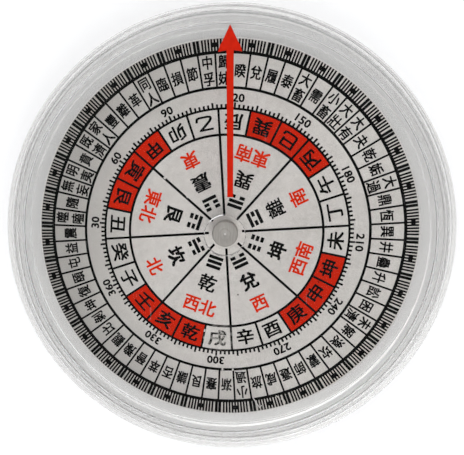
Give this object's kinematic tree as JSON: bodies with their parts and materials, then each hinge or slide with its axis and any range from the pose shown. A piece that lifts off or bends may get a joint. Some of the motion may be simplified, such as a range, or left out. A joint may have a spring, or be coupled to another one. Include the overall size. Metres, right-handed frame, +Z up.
{
  "type": "feng shui compass",
  "caption": "Round clear floor-plan compass: a printed dial of direction rings turns on a riveted knob in a flat case, under a turning cover with a red arrow.",
  "frame": {"origin": "on the pivot axis at table level, under the centre of the case", "axes": "+Z up along the pivot axis, +Y the way the red arrow points"},
  "size_m": [0.11, 0.11, 0.0135],
  "materials": {
    "clear_case": "clear moulded polystyrene",
    "clear_bezel": "clear moulded polystyrene",
    "clear_cover": "clear polished acrylic",
    "red_arrow": "flat red",
    "clear_dial": "clear acrylic",
    "printed_film": "translucent matte film",
    "grey_knob": "fine matte grey",
    "rivet_metal": "dull",
    "washer_steel": "plain",
    "washer_nylon": "natural"
  },
  "bodies": {
    "case": {"base_dish": "clear_case", "pivot_rivet": "rivet_metal", "rivet_washer": "washer_steel", "thrust_washer": "washer_nylon"},
    "dial": {"dial_disc": "clear_dial", "dial_film": "printed_film", "hub_knob": "grey_knob"},
    "cover": {"cover_disc": "clear_cover", "pointer_arrow": "red_arrow", "bezel_ring": "clear_bezel"}
  },
  "joints": [
    {"name": "dial_spin", "type": "hinge", "parent": "case", "child": "dial", "pos_m": [0, 0, 0.004], "axis": [0, 0, 1], "continuous": true},
    {"name": "cover_turn", "type": "hinge", "parent": "case", "child": "cover", "pos_m": [0, 0, 0.01], "axis": [0, 0, 1], "continuous": true}
  ]
}
